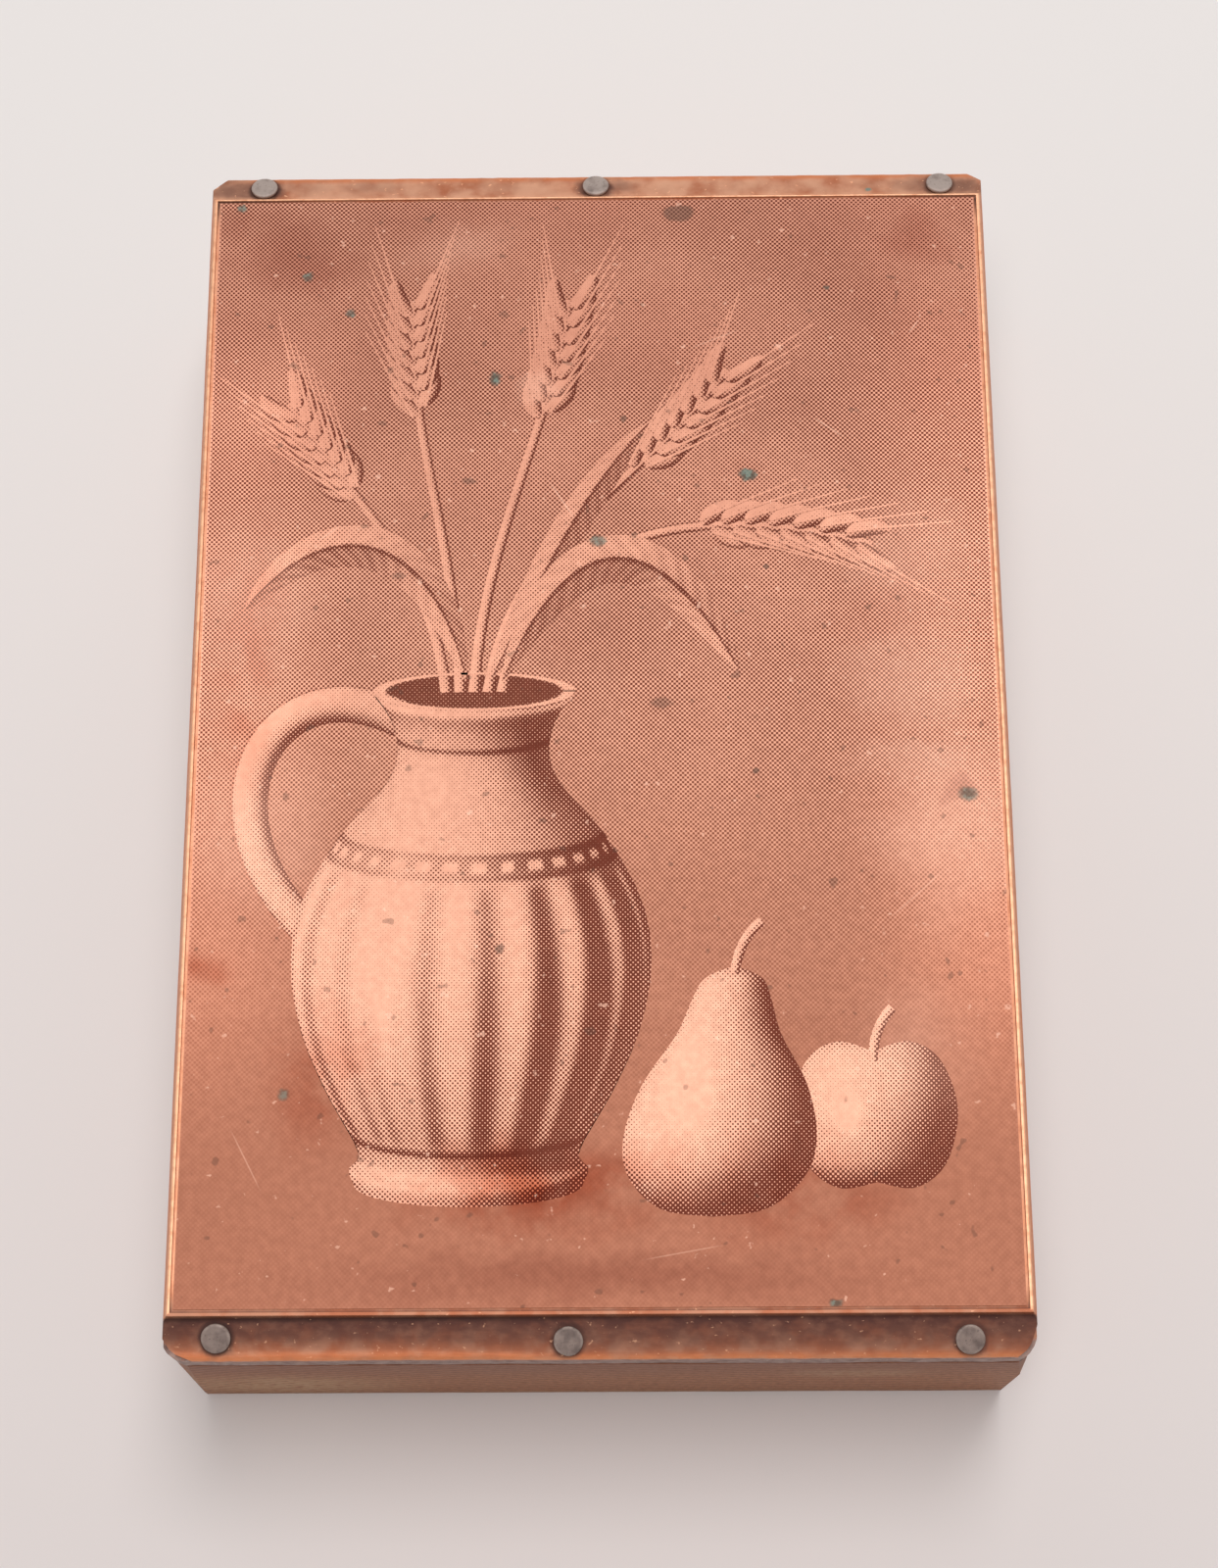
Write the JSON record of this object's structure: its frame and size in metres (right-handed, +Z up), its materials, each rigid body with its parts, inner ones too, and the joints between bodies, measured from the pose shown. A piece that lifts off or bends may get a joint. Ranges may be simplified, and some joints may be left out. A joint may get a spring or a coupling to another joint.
{
  "type": "letterpress printing block",
  "caption": "Rectangular copper-faced printing plate with a halftone picture in relief, nailed along its end flanges to a wood base of type height.",
  "frame": {"origin": "middle of the wood base's underside, which is the block's bounding box bottom centre", "axes": "+Z up from the base to the printing face, +Y along the length to the head of the picture, +X to the picture's right"},
  "size_m": [0.0592, 0.0896, 0.0233],
  "materials": {
    "wood": "sawn and planed hardwood, handled and grey with age",
    "lead": "dull grey lead alloy, shaved at the edges",
    "copper": "copper with a halftone relief, patchy brown tarnish and rubbed bright edges",
    "steel": "dull grey flat nail heads, slightly oxidised"
  },
  "bodies": {
    "root": {"wood_base": "wood", "lead_backing": "lead", "copper_shell": "copper", "nail_head_left": "steel", "nail_head_middle": "steel", "nail_head_right": "steel", "nail_foot_left": "steel", "nail_foot_middle": "steel", "nail_foot_right": "steel"}
  },
  "joints": []
}
